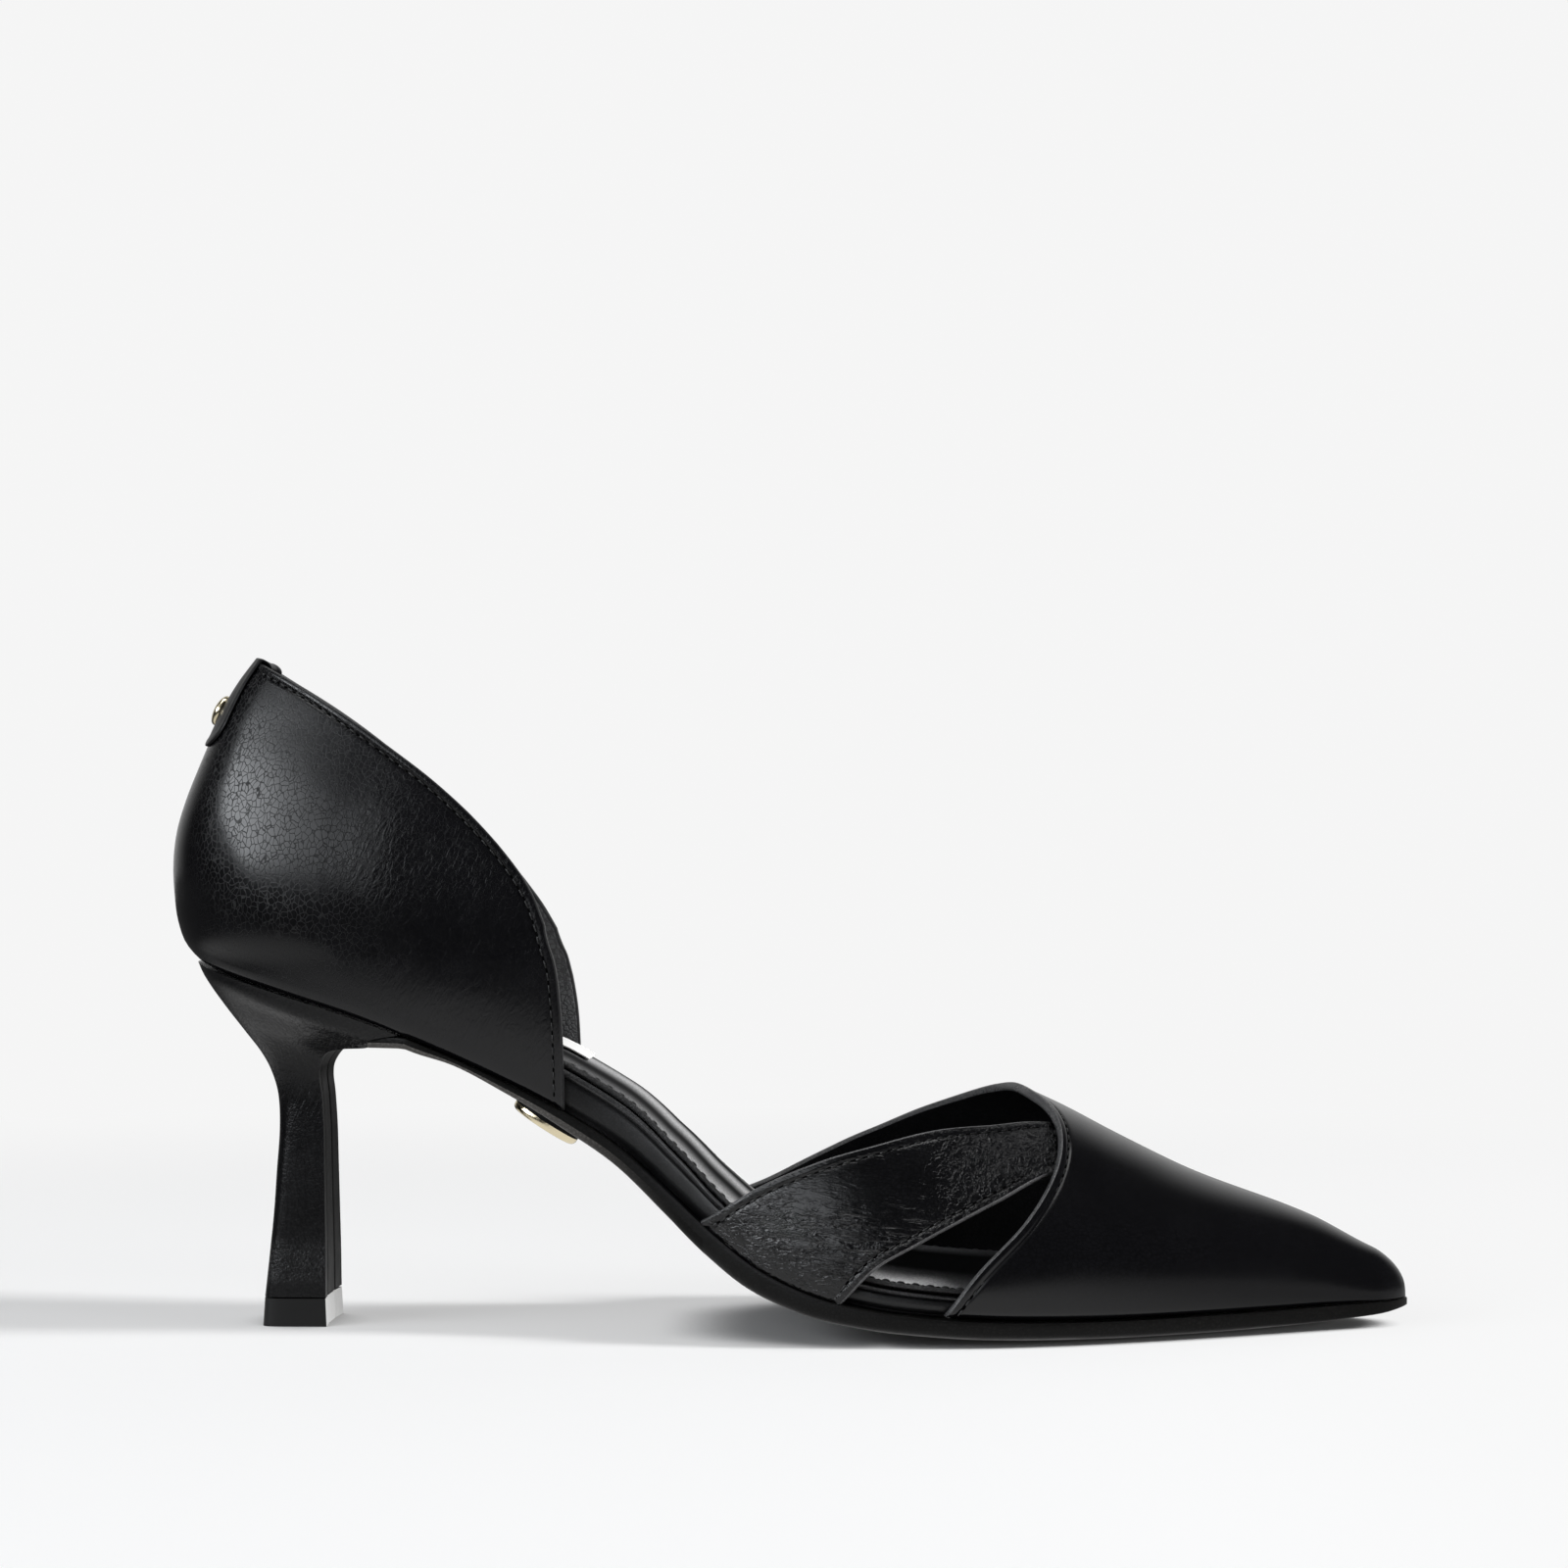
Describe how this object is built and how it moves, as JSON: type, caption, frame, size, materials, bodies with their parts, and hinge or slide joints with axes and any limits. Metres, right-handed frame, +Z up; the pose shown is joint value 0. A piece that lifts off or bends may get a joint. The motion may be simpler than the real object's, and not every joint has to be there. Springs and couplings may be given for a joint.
{
  "type": "pump shoe",
  "caption": "Black leather pointed pump with a cut-away waist, a crossover strap and vamp over an open throat, and a slim covered heel.",
  "frame": {"origin": "middle of the shoe's length and width, on the floor plane under the sole", "axes": "+X from the heel to the toe, +Y to the inner side of the foot, +Z up"},
  "size_m": [0.2437, 0.0765, 0.1316],
  "materials": {
    "sole_edge": "satin",
    "wrapped_edge": "satin",
    "sock_leather": "soft satin",
    "label_white": "matt",
    "quarter_leather": "fine crackled grain, satin",
    "vamp_leather": "smooth satin",
    "strap_leather": "wrinkled gloss",
    "heel_leather": "fine grain, satin",
    "top_piece_rubber": "matt",
    "tab_leather": "satin",
    "back_stud_gold": "polished",
    "sole_stud_gold": "polished"
  },
  "bodies": {
    "root": {"outsole": "sole_edge", "insole_board": "wrapped_edge", "sock": "sock_leather", "sock_label": "label_white", "quarter": "quarter_leather", "vamp": "vamp_leather", "strap": "strap_leather", "heel": "heel_leather", "top_piece": "top_piece_rubber", "heel_tab": "tab_leather", "back_stud": "back_stud_gold", "sole_stud": "sole_stud_gold"}
  },
  "joints": []
}
